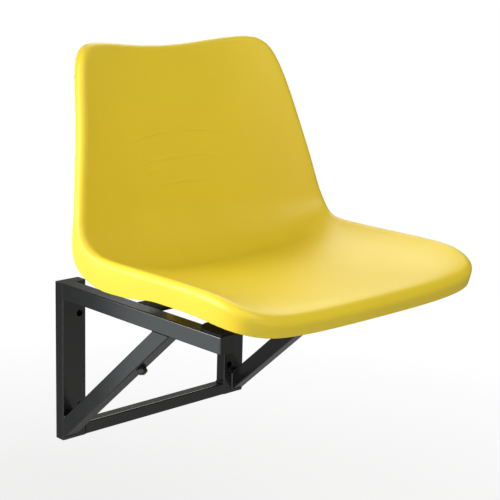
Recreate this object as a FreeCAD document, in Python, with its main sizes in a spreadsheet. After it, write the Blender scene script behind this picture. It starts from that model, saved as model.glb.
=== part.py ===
import FreeCAD, Part
import math
import os
import re

# A stadium seat for a wall or riser: a moulded plastic bucket shell on a welded steel bracket.
# Millimetres, +Z up, the sitter faces -Y and has +X on the left. The origin is the centre of
# the four wall bolts, in the plane of the wall.

SIZES = {
    # bracket: two upright posts joined by a rail, two arms, two braces
    "frame_width": 384.0,
    "post_width": 44.0,
    "post_depth": 20.0,
    "post_height": 254.0,
    "post_wall": 2.5,
    "rail_side": 20.0,
    "rail_wall": 2.0,
    "arm_side": 25.0,
    "arm_wall": 2.0,
    "arm_reach": 378.0,
    "brace_side": 25.0,
    "brace_wall": 2.0,
    "brace_angle": 41.9,
    "brace_heel": 4.0,
    "tube_corner": 2.0,
    # plates that close the posts' ends
    "end_plate": 2.0,
    # wall bolts: from the frame's side in to a hole, hole to hole up, and the clear hole
    "wall_bolt_inset": 32.0,
    "wall_bolt_up": 150.0,
    "wall_bolt_hole": 11.0,
    # end caps in the arms
    "cap_flange": 2.0,
    "cap_depth": 12.0,
    "cap_gap": 0.2,
    # flat straps that carry the seat
    "strap_thickness": 4.0,
    "rear_strap_depth": 49.0,
    "rear_strap_set_back": 170.0,
    "front_strap_depth": 57.0,
    "front_strap_corner": 28.0,
    # seat fixings
    "boss_pitch": 220.0,
    "boss_diameter": 32.0,
    "boss_bore_depth": 23.0,
    "pad_diameter": 30.0,
    "pad_thickness": 4.0,
    "insert_diameter": 12.0,
    "insert_length": 18.0,
    "bolt_diameter": 8.0,
    "bolt_hole": 9.0,
    "bolt_head_across": 13.0,
    "bolt_head_height": 5.3,
    "seat_bolt_length": 30.0,
    "washer_diameter": 16.0,
    "washer_thickness": 1.6,
    "spring_washer_diameter": 14.5,
    "spring_washer_thickness": 2.0,
    "spring_washer_split": 1.2,
    "nut_height": 6.5,
    "brace_bolt_length": 35.0,
    "brace_head_diameter": 16.0,
    "brace_head_top_diameter": 9.0,
    "brace_head_height": 2.2,
    "brace_bolt_along": 236.0,
    "fit_gap": 0.05,
    # seat shell, centre line from the top of the back to the front edge
    "pan_set_back": 179.4,
    "pan_lift": 39.6,
    "back_length": 239.7,
    "back_lean": 12.4,
    "bend_radius": 93.7,
    "pan_length": 275.4,
    "pan_rise": 2.4,
    "front_radius": 100.0,
    "front_turn": 13.0,
    # seat shell, half width at stations down the back and along the pan
    "top_half_width": 185.0,
    "back_half_width": 207.6,
    "back_foot_half_width": 232.5,
    "bend_half_width": 238.7,
    "pan_rear_half_width": 232.9,
    "pan_half_width": 230.9,
    "front_half_width": 236.8,
    # seat shell, how far the rim stands above the centre line
    "top_rim": 38.5,
    "back_rim": 50.6,
    "back_foot_rim": 53.9,
    "bend_rim": 48.6,
    "pan_rim": 36.9,
    "pan_front_rim": 26.3,
    "front_rim": 10.7,
    "front_corner_run": 68.0,
    # seat shell, how the dish rises: a larger power is a flatter middle
    "back_dish_power": 2.5,
    "pan_dish_power": 3.5,
    "front_dish_power": 3.7,
    # seat shell, outline: square corners, two humps in the top edge, a bowed front
    "top_corner_power": 15.3,
    "front_corner_power": 12.1,
    "top_hump": 7.0,
    "hump_place": 0.83,
    "front_bow": 3.7,
    # seat shell, wall, rim fold and the skirt that hangs from it
    "shell_wall": 4.0,
    "fold_radius": 8.8,
    "front_fold_radius": 12.5,
    "back_skirt": 6.9,
    "skirt_start_run": 13.1,
    "skirt_growth_run": 105.0,
    "corner_skirt": 38.7,
    "pan_skirt_start": 15.0,
    "pan_skirt": 35.8,
    "pan_skirt_run": 61.5,
    "skirt_step_run": 36.0,
    "side_skirt": 27.6,
    "front_skirt": 15.6,
    "side_draft": 5.3,
    "front_draft": 8.4,
}

# how finely the shell's surface net is laid: points along a quarter of the rim, and rings
RIM_STEPS = 24
FOLD_STEPS = 5
SKIRT_STEPS = 3
DEGREE = 3
RINGS = (0.012, 0.05, 0.12, 0.21, 0.31, 0.41, 0.51, 0.61, 0.70, 0.78, 0.85, 0.91, 0.96)
# a cutting tool reaches this far past the faces it opens
OVERRUN = 1.0

doc = FreeCAD.newDocument("stadium_seat")
sheet = doc.addObject("Spreadsheet::Sheet", "Sizes")
for row, (alias, value) in enumerate(SIZES.items(), start=1):
    sheet.set("A%d" % row, alias)
    sheet.set("B%d" % row, str(value))
    sheet.setAlias("B%d" % row, alias)
doc.recompute()
mm = {alias: float(getattr(sheet, alias)) for alias in SIZES}

nodes = []


def formula(text):
    """Put the sheet's name before each of its aliases in an expression."""
    return re.sub(r"[a-z_]+", lambda w: "Sizes." + w.group() if w.group() in SIZES else w.group(), text)


def bind(thing, **formulas):
    for name, text in formulas.items():
        thing.setExpression(name, formula(text))
    return thing


def place(thing, corner):
    for axis, text in zip("xyz", corner):
        thing.setExpression("Placement.Base." + axis, formula(text))
    return thing


def keep(thing, node):
    """Give a finished piece the name that its file takes."""
    thing.Label = node
    nodes.append(thing)
    return thing


def box(name, sides, corner):
    solid = doc.addObject("Part::Box", name)
    bind(solid, Length=sides[0], Width=sides[1], Height=sides[2])
    return place(solid, corner)


def cylinder(name, diameter, height, corner, along=(0, 0, 1)):
    solid = doc.addObject("Part::Cylinder", name)
    bind(solid, Radius="(%s) / 2" % diameter, Height=height)
    solid.Placement.Rotation = FreeCAD.Rotation(FreeCAD.Vector(0, 0, 1), FreeCAD.Vector(*along))
    return place(solid, corner)


def cone(name, foot_diameter, top_diameter, height, corner):
    solid = doc.addObject("Part::Cone", name)
    bind(solid, Radius1="(%s) / 2" % foot_diameter, Radius2="(%s) / 2" % top_diameter, Height=height)
    return place(solid, corner)


def hexagon(name, across, height, corner):
    solid = doc.addObject("Part::Prism", name)
    solid.Polygon = 6
    bind(solid, Circumradius="%s / 2 / cos(30)" % across, Height=height)
    return place(solid, corner)


def cut(name, base, tools):
    if len(tools) > 1:
        tool = doc.addObject("Part::MultiFuse", name + "_tools")
        tool.Shapes = tools
    else:
        tool = tools[0]
    result = doc.addObject("Part::Cut", name)
    result.Base = base
    result.Tool = tool
    return result


def group(name, members):
    result = doc.addObject("Part::Compound", name)
    result.Links = members
    return result


def rounded(name, base, radius, chosen):
    """Fillet the edges that the function chosen picks."""
    doc.recompute()
    result = doc.addObject("Part::Fillet", name)
    result.Base = base
    edges = enumerate(base.Shape.Edges, start=1)
    result.Edges = [(number, radius, radius) for number, edge in edges if chosen(edge)]
    return result


def runs_along(axis):
    def chosen(edge):
        run = edge.Vertexes[-1].Point - edge.Vertexes[0].Point
        return abs(run[axis]) > 0.999 * run.Length
    return chosen


def bar(name, sides, corner, axis):
    """A solid bar along one axis with the rounded corners of a rolled tube."""
    return rounded(name, box(name + "_block", sides, corner), mm["tube_corner"], runs_along(axis))


def bore(name, sides, corner, wall, axis):
    """The hollow of a tube, open at both ends."""
    inner_sides = []
    inner_corner = []
    for number in range(3):
        if number == axis:
            inner_sides.append("%s + %g" % (sides[number], 2 * OVERRUN))
            inner_corner.append("%s - %g" % (corner[number], OVERRUN))
        else:
            inner_sides.append("%s - 2 * %s" % (sides[number], wall))
            inner_corner.append("%s + %s" % (corner[number], wall))
    return box(name, inner_sides, inner_corner)


def tube(name, sides, corner, wall, axis, holes=()):
    outside = bar(name + "_outside", sides, corner, axis)
    hollow = bore(name + "_bore", sides, corner, wall, axis)
    return cut(name, outside, [hollow, *holes])


# Heights and depths that several pieces share, as expressions on the sheet.
BASE = "-post_height / 2"
ARM_TOP = "post_height / 2"
ARM_UNDERSIDE = "post_height / 2 - arm_side"
POST_FACE = "-post_depth"
REAR_STRAP_MIDDLE = "-rear_strap_set_back - rear_strap_depth / 2"
FRONT_STRAP_MIDDLE = "-arm_reach + front_strap_depth / 2"
BOSS_FOOT = "post_height / 2 + strap_thickness + pad_thickness"

SIDES = {"left": 1, "right": -1}


def outer_x(side, width):
    """Low x of a piece whose outer face is flush with the frame's side."""
    return "frame_width / 2 - " + width if side == "left" else "-frame_width / 2"


# The posts are upright rectangular tubes, each drilled through twice for the wall bolts.
for side, sign in SIDES.items():
    holes = []
    for level, lift in (("low", -1), ("high", 1)):
        place_of_hole = (
            "%d * (frame_width / 2 - wall_bolt_inset)" % sign,
            "%g" % OVERRUN,
            "%d * wall_bolt_up / 2" % lift,
        )
        holes.append(cylinder("%s_post_%s_hole" % (side, level), "wall_bolt_hole",
                              "post_depth + %g" % (2 * OVERRUN), place_of_hole, (0, -1, 0)))
    post = tube(side + "_post", ("post_width", "post_depth", "post_height"),
                (outer_x(side, "post_width"), POST_FACE, BASE), "post_wall", 2, holes)
    keep(post, side + "_post")

# A thin plate closes each end of a post. It sits inside the tube, flush with its end.
end_plates = []
for side in SIDES:
    for end, foot in (("foot", BASE), ("top", "post_height / 2 - end_plate")):
        low_x = outer_x(side, "post_width") + " + post_wall"
        end_plates.append(box("%s_post_%s_plate" % (side, end), (
            "post_width - 2 * post_wall", "post_depth - 2 * post_wall", "end_plate"),
            (low_x, "-post_depth + post_wall", foot)))
keep(group("end_plate_group", end_plates), "post_end_plates")

# The bottom rail is a square tube welded between the posts, flush with their front and foot.
keep(tube("bottom_rail", ("frame_width - 2 * post_width", "rail_side", "rail_side"),
          ("-frame_width / 2 + post_width", POST_FACE, BASE), "rail_wall", 0), "bottom_rail")

# The arms are square tubes welded to the posts' front faces. A plastic cap closes each end.
for side in SIDES:
    arm_sides = ("arm_side", "arm_reach - post_depth - cap_flange", "arm_side")
    arm_corner = (outer_x(side, "arm_side"), "-arm_reach + cap_flange", ARM_UNDERSIDE)
    keep(tube(side + "_arm", arm_sides, arm_corner, "arm_wall", 1), side + "_arm")
    flange = bar(side + "_cap_flange", ("arm_side", "cap_flange", "arm_side"),
                 (arm_corner[0], "-arm_reach", ARM_UNDERSIDE), 1)
    inset = "arm_wall + cap_gap"
    spigot = box(side + "_cap_spigot", ("arm_side - 2 * (%s)" % inset, "cap_depth",
                                        "arm_side - 2 * (%s)" % inset),
                 (arm_corner[0] + " + " + inset, arm_corner[1], ARM_UNDERSIDE + " + " + inset))
    cap = doc.addObject("Part::Fuse", side + "_arm_cap")
    cap.Base = flange
    cap.Tool = spigot
    keep(cap, side + "_arm_cap")

# The braces are square tubes that climb from the posts' feet to the arms, cut to a mitre at
# both ends. Each has one cross bolt, square to its length, with a thin round head above it and
# a washer and a nut below.
BRACE_HEEL = "-post_height / 2 + brace_heel"
BRACE_RUN = "(post_height - arm_side - brace_heel) / sin(brace_angle)"
TILT = FreeCAD.Rotation(FreeCAD.Vector(1, 0, 0), -mm["brace_angle"])


def on_brace(along, up):
    """Depth and height of a point that far along a brace's lower face and square above it."""
    depth = "-post_depth - (%s) * cos(brace_angle) + (%s) * sin(brace_angle)" % (along, up)
    height = "%s + (%s) * sin(brace_angle) + (%s) * cos(brace_angle)" % (BRACE_HEEL, along, up)
    return depth, height


def tilt(thing):
    thing.Placement.Rotation = TILT
    thing.setExpression("Placement.Rotation.Angle", formula("brace_angle"))
    thing.Placement.Rotation.Axis = FreeCAD.Vector(-1, 0, 0)
    return thing


brace_bolts = []
brace_washers = []
brace_nuts = []
for side, sign in SIDES.items():
    low_x = outer_x(side, "brace_side")
    middle_x = "%d * (frame_width - brace_side) / 2" % sign
    run = "%s + 2 * brace_side" % BRACE_RUN
    start = "%s + brace_side" % BRACE_RUN
    blank = tilt(box(side + "_brace_blank", ("brace_side", run, "brace_side"),
                     (low_x, *on_brace(start, "0"))))
    outside = rounded(side + "_brace_outside", blank, mm["tube_corner"], lambda edge: (
        abs((edge.Vertexes[-1].Point - edge.Vertexes[0].Point).x) < OVERRUN and
        edge.Length > mm["arm_side"] * 2))
    hollow = tilt(box(side + "_brace_bore", ("brace_side - 2 * brace_wall",
                                             run + " + %g" % (2 * OVERRUN),
                                             "brace_side - 2 * brace_wall"),
                      (low_x + " + brace_wall", *on_brace(start + " + %g" % OVERRUN, "brace_wall"))))
    behind = box(side + "_brace_heel_cut", ("brace_side + %g" % (2 * OVERRUN), "4 * brace_side",
                                            "post_height"),
                 (low_x + " - %g" % OVERRUN, POST_FACE, "-post_height"))
    above = box(side + "_brace_head_cut", ("brace_side + %g" % (2 * OVERRUN), "arm_reach",
                                           "4 * brace_side"),
                (low_x + " - %g" % OVERRUN, "-arm_reach", ARM_UNDERSIDE))
    hole = tilt(cylinder(side + "_brace_hole", "bolt_hole", "brace_side + %g" % (2 * OVERRUN),
                         (middle_x, *on_brace("brace_bolt_along", "-%g" % OVERRUN))))
    keep(cut(side + "_brace", outside, [hollow, behind, above, hole]), side + "_brace")

    shank_foot = "brace_side - brace_bolt_length"
    head = tilt(cone(side + "_brace_bolt_head", "brace_head_diameter", "brace_head_top_diameter",
                     "brace_head_height", (middle_x, *on_brace("brace_bolt_along", "brace_side"))))
    shank = tilt(cylinder(side + "_brace_bolt_shank", "bolt_diameter", "brace_bolt_length",
                          (middle_x, *on_brace("brace_bolt_along", shank_foot))))
    bolt = doc.addObject("Part::Fuse", side + "_brace_bolt")
    bolt.Base = head
    bolt.Tool = shank
    brace_bolts.append(bolt)
    washer_foot = "-washer_thickness"
    disc = tilt(cylinder(side + "_brace_washer_disc", "washer_diameter", "washer_thickness",
                         (middle_x, *on_brace("brace_bolt_along", washer_foot))))
    eye = tilt(cylinder(side + "_brace_washer_eye", "bolt_diameter + 2 * fit_gap",
                        "washer_thickness + %g" % (2 * OVERRUN),
                        (middle_x, *on_brace("brace_bolt_along", washer_foot + " - %g" % OVERRUN))))
    brace_washers.append(cut(side + "_brace_washer", disc, [eye]))
    nut_foot = "-washer_thickness - nut_height"
    block = tilt(hexagon(side + "_brace_nut_block", "bolt_head_across", "nut_height",
                         (middle_x, *on_brace("brace_bolt_along", nut_foot))))
    thread = tilt(cylinder(side + "_brace_nut_thread", "bolt_diameter + 2 * fit_gap",
                           "nut_height + %g" % (2 * OVERRUN),
                           (middle_x, *on_brace("brace_bolt_along", nut_foot + " - %g" % OVERRUN))))
    brace_nuts.append(cut(side + "_brace_nut", block, [thread]))
keep(group("brace_bolt_group", brace_bolts), "brace_bolts")
keep(group("brace_washer_group", brace_washers), "brace_washers")
keep(group("brace_nut_group", brace_nuts), "brace_nuts")

# Where the four seat fixings stand: name, x, y and the underside of the strap there.
FIXINGS = []
for side, sign in SIDES.items():
    across = "%d * boss_pitch / 2" % sign
    FIXINGS.append(("rear_" + side, across, REAR_STRAP_MIDDLE, ARM_TOP + " - strap_thickness"))
    FIXINGS.append(("front_" + side, across, FRONT_STRAP_MIDDLE, ARM_TOP))


def strap_holes(end):
    holes = []
    for name, across, depth, underside in FIXINGS:
        if name.startswith(end):
            holes.append(cylinder("strap_hole_" + name, "bolt_hole",
                                  "strap_thickness + %g" % (2 * OVERRUN),
                                  (across, depth, underside + " - %g" % OVERRUN)))
    return holes


# The rear strap is a flat bar welded between the arms, its top flush with theirs.
rear_bar = box("rear_strap_bar", ("frame_width - 2 * arm_side", "rear_strap_depth", "strap_thickness"),
               ("-frame_width / 2 + arm_side", "-rear_strap_set_back - rear_strap_depth",
                ARM_TOP + " - strap_thickness"))
keep(cut("rear_strap_piece", rear_bar, strap_holes("rear")), "rear_cross_strap")

# The front strap lies on both arms, flush with their front ends. Its rear corners are round.
front_bar = box("front_strap_bar", ("frame_width", "front_strap_depth", "strap_thickness"),
                ("-frame_width / 2", "-arm_reach", ARM_TOP))
rear_edge_y = mm["front_strap_depth"] - mm["arm_reach"] - OVERRUN
front_plate = rounded("front_strap_plate", front_bar, mm["front_strap_corner"], lambda edge: (
    edge.CenterOfMass.y > rear_edge_y and runs_along(2)(edge)))
keep(cut("front_strap_piece", front_plate, strap_holes("front")), "front_cross_strap")


# Seat fixings, from the bottom up: bolt, spring washer, flat washer, strap, pad, insert.
def ring(name, outer, inner, thickness, corner):
    """A flat ring that rises from its corner point, which is the middle of its lower face."""
    disc = cylinder(name + "_disc", outer, thickness, corner)
    eye = cylinder(name + "_eye", inner, "%s + %g" % (thickness, 2 * OVERRUN),
                   (corner[0], corner[1], corner[2] + " - %g" % OVERRUN))
    return cut(name, disc, [eye])


BOLT_EYE = "bolt_diameter + 2 * fit_gap"
seat_bolts = []
spring_washers = []
flat_washers = []
spacer_pads = []
inserts = []
for name, across, depth, underside in FIXINGS:
    washer_foot = underside + " - washer_thickness"
    flat_washers.append(ring("washer_" + name, "washer_diameter", BOLT_EYE, "washer_thickness",
                             (across, depth, washer_foot)))
    spring_foot = washer_foot + " - spring_washer_thickness"
    coil = ring("spring_ring_" + name, "spring_washer_diameter", BOLT_EYE, "spring_washer_thickness",
                (across, depth, spring_foot))
    split = box("spring_split_" + name, ("spring_washer_split", "spring_washer_diameter",
                                         "spring_washer_thickness + %g" % (2 * OVERRUN)),
                (across + " - spring_washer_split / 2", depth, spring_foot + " - %g" % OVERRUN))
    spring_washers.append(cut("spring_washer_" + name, coil, [split]))
    head = hexagon("bolt_head_" + name, "bolt_head_across", "bolt_head_height",
                   (across, depth, spring_foot + " - bolt_head_height"))
    shank = cylinder("bolt_shank_" + name, "bolt_diameter", "seat_bolt_length",
                     (across, depth, spring_foot))
    bolt = doc.addObject("Part::Fuse", "seat_bolt_" + name)
    bolt.Base = head
    bolt.Tool = shank
    seat_bolts.append(bolt)
    strap_top = underside + " + strap_thickness"
    pad_height = "%s - (%s)" % (BOSS_FOOT, strap_top)
    spacer_pads.append(ring("pad_" + name, "pad_diameter", "bolt_hole", "(%s)" % pad_height,
                            (across, depth, strap_top)))
    inserts.append(ring("insert_" + name, "insert_diameter", BOLT_EYE, "insert_length",
                        (across, depth, BOSS_FOOT)))
keep(group("bolt_group", seat_bolts), "seat_bolts")
keep(group("spring_group", spring_washers), "seat_spring_washers")
keep(group("washer_group", flat_washers), "seat_washers")
keep(group("pad_group", spacer_pads), "spacer_pads")
keep(group("insert_group", inserts), "threaded_inserts")

# The seat shell. Its upper skin is a formula: a centre line of straights and arcs, and at each
# point of it a width, a rim height and a dish that rises to the rim.
LEAN = math.radians(mm["back_lean"])
RISE = math.radians(90 + mm["pan_rise"])
BACK_END = mm["back_length"]
BEND_END = BACK_END + mm["bend_radius"] * (RISE - LEAN)
PAN_END = BEND_END + mm["pan_length"]
FRONT_END = PAN_END + mm["front_radius"] * math.radians(mm["pan_rise"] + mm["front_turn"])
BEND_MIDDLE = (BACK_END + BEND_END) / 2
PAN_REAR = FreeCAD.Vector(0, -mm["pan_set_back"], mm["post_height"] / 2 + mm["pan_lift"])


def heading(angle):
    """Unit vector in the middle plane, from straight down at 0 to straight forward at 90 degrees."""
    return FreeCAD.Vector(0, -math.sin(angle), -math.cos(angle))


def arc_step(angle, radius, turn):
    """The step made by walking an arc that turns forward (positive) or down (negative)."""
    after = angle + turn
    return FreeCAD.Vector(0, math.cos(after) - math.cos(angle), math.sin(angle) - math.sin(after)) * radius


BEND_STEP = arc_step(LEAN, mm["bend_radius"], RISE - LEAN)
BACK_FOOT = PAN_REAR - BEND_STEP


def centre_line(along):
    """Point and direction that far along the centre line, 0 at the top of the back."""
    if along <= BACK_END:
        return BACK_FOOT - heading(LEAN) * (BACK_END - along), LEAN
    if along <= BEND_END:
        turn = (along - BACK_END) / mm["bend_radius"]
        return BACK_FOOT + arc_step(LEAN, mm["bend_radius"], turn), LEAN + turn
    if along <= PAN_END:
        return PAN_REAR + heading(RISE) * (along - BEND_END), RISE
    turn = (PAN_END - along) / mm["front_radius"]
    front = PAN_REAR + heading(RISE) * mm["pan_length"]
    return front - arc_step(RISE, mm["front_radius"], turn), RISE + turn


def eased(along, stations):
    """A smooth curve through (place, value) stations that never overshoots them."""
    if along <= stations[0][0]:
        return stations[0][1]
    if along >= stations[-1][0]:
        return stations[-1][1]
    slopes = [(high[1] - low[1]) / (high[0] - low[0]) for low, high in zip(stations, stations[1:])]
    tangents = [slopes[0]]
    for before, after in zip(slopes, slopes[1:]):
        tangents.append(2 * before * after / (before + after) if before * after > 0 else 0.0)
    tangents.append(slopes[-1])
    span = max(k for k in range(len(slopes)) if along >= stations[k][0])
    start, end = stations[span][0], stations[span + 1][0]
    t = (along - start) / (end - start)
    blend = t * t * (3 - 2 * t)
    value = stations[span][1] * (1 - blend) + stations[span + 1][1] * blend
    bulge = t * (1 - t) * (tangents[span] * (1 - t) - tangents[span + 1] * t)
    return value + bulge * (end - start)


HALF_WIDTH = (
    (0, mm["top_half_width"]),
    (BACK_END / 2, mm["back_half_width"]),
    (BACK_END, mm["back_foot_half_width"]),
    (BEND_MIDDLE, mm["bend_half_width"]),
    (BEND_END, mm["pan_rear_half_width"]),
    (BEND_END + mm["pan_length"] / 3, mm["pan_half_width"]),
    (FRONT_END, mm["front_half_width"]),
)
RIM_HEIGHT = (
    (0, mm["top_rim"]),
    (BACK_END / 2, mm["back_rim"]),
    (BACK_END, mm["back_foot_rim"]),
    (BEND_MIDDLE, mm["bend_rim"]),
    (BEND_END, mm["pan_rim"]),
    (FRONT_END - mm["front_corner_run"], mm["pan_front_rim"]),
    (FRONT_END, mm["front_rim"]),
)
DISH_POWER = (
    (0, mm["back_dish_power"]),
    (BACK_END, mm["back_dish_power"]),
    (BEND_END, mm["pan_dish_power"]),
    (FRONT_END, mm["front_dish_power"]),
)
SKIRT = (
    (0, mm["back_skirt"]),
    (BACK_END + mm["skirt_start_run"], mm["back_skirt"]),
    (BACK_END + mm["skirt_start_run"] + mm["skirt_growth_run"], mm["corner_skirt"]),
    (BEND_END + mm["pan_skirt_start"], mm["pan_skirt"]),
    (BEND_END + mm["pan_skirt_run"], mm["pan_skirt"]),
    (BEND_END + mm["pan_skirt_run"] + mm["skirt_step_run"], mm["side_skirt"]),
    (FRONT_END - mm["front_corner_run"], mm["side_skirt"]),
    (FRONT_END, mm["front_skirt"]),
)
FOLD_RADIUS = (
    (0, mm["fold_radius"]),
    (FRONT_END - 1.5 * mm["front_corner_run"], mm["fold_radius"]),
    (FRONT_END, mm["front_fold_radius"]),
)
DRAFT = (
    (BEND_END, 0.0),
    (BEND_END + mm["pan_skirt_run"] + mm["skirt_step_run"], mm["side_draft"]),
    (FRONT_END - mm["front_corner_run"], mm["side_draft"]),
    (FRONT_END, mm["front_draft"]),
)


def dish(across, along):
    """Point of the upper skin: across runs -1 to 1 between the rims, along is in millimetres."""
    middle, angle = centre_line(along)
    place_on_line = max(along, 0)
    rise = eased(place_on_line, RIM_HEIGHT) * abs(across) ** eased(place_on_line, DISH_POWER)
    up = FreeCAD.Vector(0, -math.cos(angle), math.sin(angle))
    return middle + FreeCAD.Vector(across * eased(place_on_line, HALF_WIDTH), 0, 0) + up * rise, angle


def along_of(across, down):
    """Place on the centre line for a point down the shell: -1 at the top edge, 1 at the front."""
    share = (down + 1) / 2
    hump = -mm["top_hump"] * math.sin(math.pi / 2 * min(abs(across) / mm["hump_place"], 1)) ** 2
    bow = -mm["front_bow"] * across * across
    return hump * (1 - share) ** 3 + FRONT_END * share + bow * share ** 3


def skin(across, down):
    return dish(across, along_of(across, down))[0]


def on_rim(across, down):
    """Draw a point of the square onto the outline, whose corners are round."""
    power = mm["front_corner_power"] if down > 0 else mm["top_corner_power"]
    reach = (abs(across) ** power + abs(down) ** power) ** (1 / power)
    return across / reach, down / reach


def rim_places():
    """Places around the outline, closer together in the corners."""
    half = RIM_STEPS // 2
    run = [0.5 * math.sin(k / half * math.pi / 2) + 0.5 * k / half for k in range(-half, half)]
    square = [(1.0, k) for k in run] + [(-k, 1.0) for k in run]
    square += [(-1.0, -k) for k in run] + [(k, -1.0) for k in run]
    return [on_rim(*corner) for corner in square]


SMALL = 1e-3


def skin_normal(across, down):
    """Unit normal of the upper skin, pointing to the underside."""
    side_step = skin(across + SMALL, down) - skin(across - SMALL, down)
    down_step = skin(across, down + SMALL) - skin(across, down - SMALL)
    return side_step.cross(down_step).normalize()


def rim_frame(across, down):
    """At the outline: the point, the way out of the dish, and the way the skirt hangs."""
    point, angle = dish(across, along_of(across, down))
    turn = math.atan2(down, across)
    ahead = skin(*on_rim(math.cos(turn + SMALL), math.sin(turn + SMALL)))
    behind = skin(*on_rim(math.cos(turn - SMALL), math.sin(turn - SMALL)))
    edge_way = (ahead - behind).normalize()
    out = point - skin(across * (1 - SMALL), down * (1 - SMALL))
    out = (out - edge_way * out.dot(edge_way)).normalize()
    hang_angle = min(angle, math.pi / 2)
    hang = FreeCAD.Vector(0, math.cos(hang_angle), -math.sin(hang_angle))
    hang = (hang - edge_way * hang.dot(edge_way)).normalize()
    outward = (out - hang * out.dot(hang)).normalize()
    draft = math.radians(eased(along_of(across, down), DRAFT))
    return point, out, hang * math.cos(draft) - outward * math.sin(draft)


def rib_points(across, down):
    """One line of the surface net, from the middle of the upper skin over the rim and back."""
    wall = mm["shell_wall"]
    top = [skin(across * ring_share, down * ring_share) for ring_share in RINGS]
    under = [skin(across * ring_share, down * ring_share)
             + skin_normal(across * ring_share, down * ring_share) * wall for ring_share in RINGS]
    point, out, hang = rim_frame(across, down)
    sweep = math.acos(max(-1.0, min(1.0, out.dot(hang))))
    inward = (hang - out * math.cos(sweep)).normalize()
    radius = eased(along_of(across, down), FOLD_RADIUS)
    centre = point + inward * radius
    outer_fold = []
    inner_fold = []
    for step in range(FOLD_STEPS + 1):
        angle = sweep * step / FOLD_STEPS
        spoke = out * math.sin(angle) - inward * math.cos(angle)
        outer_fold.append(centre + spoke * radius)
        inner_fold.append(centre + spoke * (radius - wall))
    drop = eased(along_of(across, down), SKIRT)
    outer_skirt = [outer_fold[-1] + hang * (drop * step / SKIRT_STEPS) for step in range(1, SKIRT_STEPS + 1)]
    inner_skirt = [inner_fold[-1] + hang * (drop * step / SKIRT_STEPS) for step in range(1, SKIRT_STEPS + 1)]
    return top + outer_fold + outer_skirt, inner_skirt[::-1] + inner_fold[::-1] + under[::-1]


def closed_surface(net, degree_across):
    """A smooth surface laid on a net whose rows go once round the rim."""
    rows = len(net)
    spans = len(net[0]) - degree_across
    surface = Part.BSplineSurface()
    surface.buildFromPolesMultsKnots(
        net, [1] * (rows + 1), [degree_across + 1] + [1] * (spans - 1) + [degree_across + 1],
        list(range(rows + 1)), list(range(spans + 1)), True, False, DEGREE, degree_across)
    return surface


def patches(surface, bands):
    """The surface in quarters round the rim, split again where a band ends."""
    faces = []
    for quarter in range(4):
        start = RIM_STEPS * quarter
        for inner, outer in zip(bands, bands[1:]):
            patch = surface.copy()
            patch.segment(start, start + RIM_STEPS, inner, outer)
            faces.append(patch.toShape())
    return faces


def shell_skin():
    """The whole shell: the upper skin with its skirt, the underside, and the lip between them."""
    top_middle = skin(0, 0)
    under_middle = top_middle + skin_normal(0, 0) * mm["shell_wall"]
    ribs = [rib_points(*place_on_rim) for place_on_rim in rim_places()]
    outside = [[top_middle] + way_out for way_out, way_back in ribs]
    lip = [[way_out[-1], way_back[0]] for way_out, way_back in ribs]
    underside = [way_back + [under_middle] for way_out, way_back in ribs]
    skin_end = len(RINGS) - 1
    fold_end = skin_end + FOLD_STEPS + 1
    last = len(outside[0]) - DEGREE
    bands = [0, 2, skin_end, fold_end, last]
    faces = patches(closed_surface(outside, DEGREE), bands)
    faces += patches(closed_surface(lip, 1), [0, 1])
    faces += patches(closed_surface(underside, DEGREE), [last - seam for seam in reversed(bands)])
    sewn = Part.makeCompound(faces)
    sewn.sewShape()
    solid = Part.Solid(sewn.Shells[0])
    if solid.Volume < 0:
        solid.reverse()
    return solid


def skin_above(x, y):
    """Point of the pan straight above a place on the straps, with its across and along."""
    low, high = BEND_MIDDLE, FRONT_END
    for _ in range(40):
        along = (low + high) / 2
        across = x / eased(along, HALF_WIDTH)
        point = dish(across, along)[0]
        if point.y > y:
            low = along
        else:
            high = along
    slope_side = dish(across + SMALL, along)[0] - dish(across - SMALL, along)[0]
    slope_front = dish(across, along + OVERRUN)[0] - dish(across, along - OVERRUN)[0]
    return point, slope_side.cross(slope_front).normalize()


def seat_boss(x, y, foot):
    """A round boss from its foot up into the middle of the pan's wall, and its blind bore."""
    point, under = skin_above(x, y)
    radius = mm["boss_diameter"] / 2
    reach = point.z - foot + 2 * radius
    post = Part.makeCylinder(radius, reach, FreeCAD.Vector(x, y, foot))
    wall_middle = point + under * (mm["shell_wall"] / 2)
    lid = Part.makeBox(4 * radius, 4 * radius, reach, FreeCAD.Vector(-2 * radius, -2 * radius, 0))
    lid.Placement = FreeCAD.Placement(wall_middle, FreeCAD.Rotation(FreeCAD.Vector(0, 0, 1), under * -1))
    blind = Part.makeCylinder(mm["insert_diameter"] / 2 + mm["fit_gap"], mm["boss_bore_depth"],
                              FreeCAD.Vector(x, y, foot))
    return post.cut(lid), blind


shell = shell_skin()
boss_foot = mm["post_height"] / 2 + mm["strap_thickness"] + mm["pad_thickness"]
strap_middles = (-mm["rear_strap_set_back"] - mm["rear_strap_depth"] / 2,
                 -mm["arm_reach"] + mm["front_strap_depth"] / 2)
blind_bores = []
for strap_y in strap_middles:
    for boss_x in (-mm["boss_pitch"] / 2, mm["boss_pitch"] / 2):
        boss, blind_bore = seat_boss(boss_x, strap_y, boss_foot)
        shell = shell.fuse(boss)
        blind_bores.append(blind_bore)
for blind_bore in blind_bores:
    shell = shell.cut(blind_bore)
seat_shell = doc.addObject("Part::Feature", "shell")
seat_shell.Shape = shell
seat_shell.Placement = FreeCAD.Placement()
keep(seat_shell, "seat_shell")

doc.recompute()
for thing in doc.Objects:
    if "Invalid" in thing.State or "Error" in thing.State:
        raise RuntimeError("%s did not build" % thing.Name)
for node in nodes:
    if node.Shape.isNull() or not node.Shape.isValid() or not node.Shape.Solids:
        raise RuntimeError("%s is not a valid solid" % node.Label)

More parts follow.
